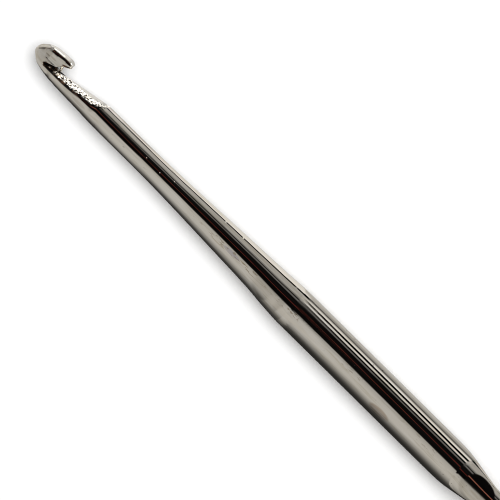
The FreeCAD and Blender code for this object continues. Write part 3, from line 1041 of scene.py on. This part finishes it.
SHAFT_PANELS = [
    (-90, 130), (-80, 40), (-66, 38), (-60, 49), (-54, 66), (-48, 99), (-42, 134), (-36, 162),
    (-31, 177), (-18, 177), (-9, 162), (-6.2, 160), (-3.9, 8), (6.5, 12), (9, 12),
    (10, 100, 0.20, 0.14), (11, 12), (17.5, 8), (20.8, 8), (21.6, 92), (24.4, 92), (25.4, 6),
    (29.0, 6), (30.2, 200), (34.0, 205), (35.2, 3), (40.6, 3), (41.6, 232), (45.5, 205),
    (51, 58), (57, 150), (66, 176),
]
HEAD_PANELS = [
    (-90, 195), (-75, 172), (-55, 168), (-42, 176), (-33, 182), (-24, 180), (-18, 176),
    (-12, 170), (-9, 150), (-6, 40), (-3, 10), (5, 8), (7, 20, 0.6, 0.5), (9, 150, 0.38, 0.27),
    (11, 20, 0.6, 0.5), (13, 6), (36, 10), (41, 60), (46, 120), (51, 168), (62, 160), (74, 160),
    (82, 185), (90, 200),
]
NOSE_PANELS = [
    (-90, 195), (-70, 174), (-45, 168), (-25, 160), (-10, 154), (0, 138), (6, 106), (20, 98),
    (30, 140), (38, 190), (56, 200), (72, 178), (90, 205),
]
METAL_SHARE = 0.66  # a panel is brighter than it is seen in the metal by this much


def to_linear(level):
    level = level / 255.0
    return level / 12.92 if level <= 0.04045 else ((level + 0.055) / 1.055) ** 2.4


def panel_stops(rows):
    """Ramp stops; a mirrored ray turns twice as far as the surface does."""
    stops = []
    for angle, level, *shares in rows:
        green, blue = shares or (1, 1)
        light = to_linear(level) / METAL_SHARE
        stops.append(((angle * 2 + 180) / 360, (light, light * green, light * blue, 1)))
    return stops


def build_world():
    world = bpy.data.worlds.new("studio")
    scene.world = world
    world.use_nodes = True
    nodes = Nodes(world.node_tree)
    times, mix = nodes.times, nodes.mix
    direction = nodes.add("ShaderNodeTexCoord").outputs["Generated"]
    x, y, z = nodes.add("ShaderNodeSeparateXYZ", {0: direction}).outputs
    # angle round the bar, 0 overhead and + to the mouth side; tilts in degrees to either end
    angle = nodes.math("ARCTAN2", times(y, -1.0), z)
    turn = nodes.math("MULTIPLY_ADD", angle, 1 / (2 * math.pi), 0.5)
    nosewards = nodes.math("DEGREES", nodes.math("ARCSINE", x))
    buttwards = times(nosewards, -1.0)

    def to_nose(start, end):
        """Mask that rises between two tilts towards the nose."""
        return nodes.fade(nosewards, start, end)

    def to_butt(start, end):
        """Mask that rises between two tilts towards the butt."""
        return nodes.fade(buttwards, start, end)

    def around(start, end, value=angle):
        """Mask that rises between two angles round the bar, in degrees."""
        return nodes.fade(value, math.radians(start), math.radians(end))

    neck, shaft, taper, head, nose = (
        nodes.ramp(turn, panel_stops(rows))
        for rows in (NECK_PANELS, SHAFT_PANELS, TAPER_PANELS, HEAD_PANELS, NOSE_PANELS)
    )
    panels = mix(to_nose(-0.34, -0.22), shaft, neck)
    panels = mix(to_nose(0.75, 1.3), panels, taper)
    # the steepest part of the taper sees the shaft's panels on its side away from the mouth
    steep = times(to_nose(4.7, 6.4), around(-52, -80))
    panels = mix(times(steep, 0.8), panels, shaft)
    panels = mix(to_nose(8.4, 10.0), panels, head)
    # what leans a little towards the nose sees a dimmer stretch of wall
    dim = times(to_nose(4.2, 7.5), around(10, -10), around(-100, -60))
    panels = mix(dim, panels, mix(1.0, panels, (0.80, 0.79, 0.77, 1), "MULTIPLY"))
    panels = mix(to_nose(20, 31), panels, nose)
    # far towards either end the panels run out into plain wall
    panels = mix(to_nose(60, 84), panels, (0.60, 0.58, 0.55, 1))
    panels = mix(to_butt(34, 62), panels, (0.62, 0.60, 0.57, 1))
    # a grey stretch overhead towards the butt, and a dark one away from the mouth
    grey = times(to_butt(9, 14), times(around(-40, -20), around(90, 70)))
    panels = mix(times(grey, to_butt(30, 24)), panels, (0.50, 0.48, 0.44, 1))
    dark = times(to_butt(2, 6), around(34, 50, times(angle, -1.0)))
    panels = mix(dark, panels, (0.05, 0.045, 0.04, 1))
    # two small lamps below the horizon on the mouth side, one towards each end
    nose_end = times(to_nose(4.4, 5.8), to_nose(12.5, 10))
    ends = nodes.math("ADD", nose_end, times(to_butt(7.5, 9.5), to_butt(26, 21)))
    lamp = times(ends, around(92, 102), around(148, 138))
    # at small tilts the nose lamp reaches less far below the horizon
    short = times(around(104, 114), times(to_nose(11.5, 9.5), to_nose(0, 1)))
    lamp = times(lamp, nodes.math("SUBTRACT", 1.0, short))
    # the long glint on the lip's flat top
    glint = times(
        times(to_nose(3.95, 4.4), to_nose(9.5, 8.5)), times(around(142, 147), around(152, 151))
    )
    lamp = nodes.math("MAXIMUM", lamp, glint)
    # a bright patch overhead, well towards the butt
    patch = times(to_butt(28, 34), to_butt(54, 47))
    patch = times(patch, around(50, 30, nodes.math("ABSOLUTE", angle)))
    panels = mix(nodes.math("MAXIMUM", lamp, patch), panels, (3.0, 3.0, 3.0, 1))

    # only reflections see the panels; the rest is lit by even grey, and the camera sees white
    path = nodes.add("ShaderNodeLightPath")
    light = mix(path.outputs["Is Glossy Ray"], (0.255, 0.255, 0.255, 1), panels)
    light = mix(path.outputs["Is Camera Ray"], light, (1, 1, 1, 1))
    background = nodes.add("ShaderNodeBackground", {"Color": light, "Strength": 1.0})
    nodes.add("ShaderNodeOutputWorld", {0: background.outputs[0]})
    world.cycles.sampling_method = "NONE"


def add_lamp(target):
    """One large soft lamp overhead, a little to the mouth side."""
    data = bpy.data.lights.new("soft_lamp", "AREA")
    data.shape, data.size = "DISK", 0.76
    data.energy = 12.1
    lamp = bpy.data.objects.new("soft_lamp", data)
    scene.collection.objects.link(lamp)
    place = target + Vector((0, -0.128, 1.042))
    lamp.location = place
    lamp.rotation_mode = "QUATERNION"
    lamp.rotation_quaternion = (target - place).to_track_quat("-Z", "Y")
    lamp.visible_glossy = False
    lamp.visible_camera = False


view_centre = add_camera()
add_floor()
build_world()
add_lamp(view_centre)
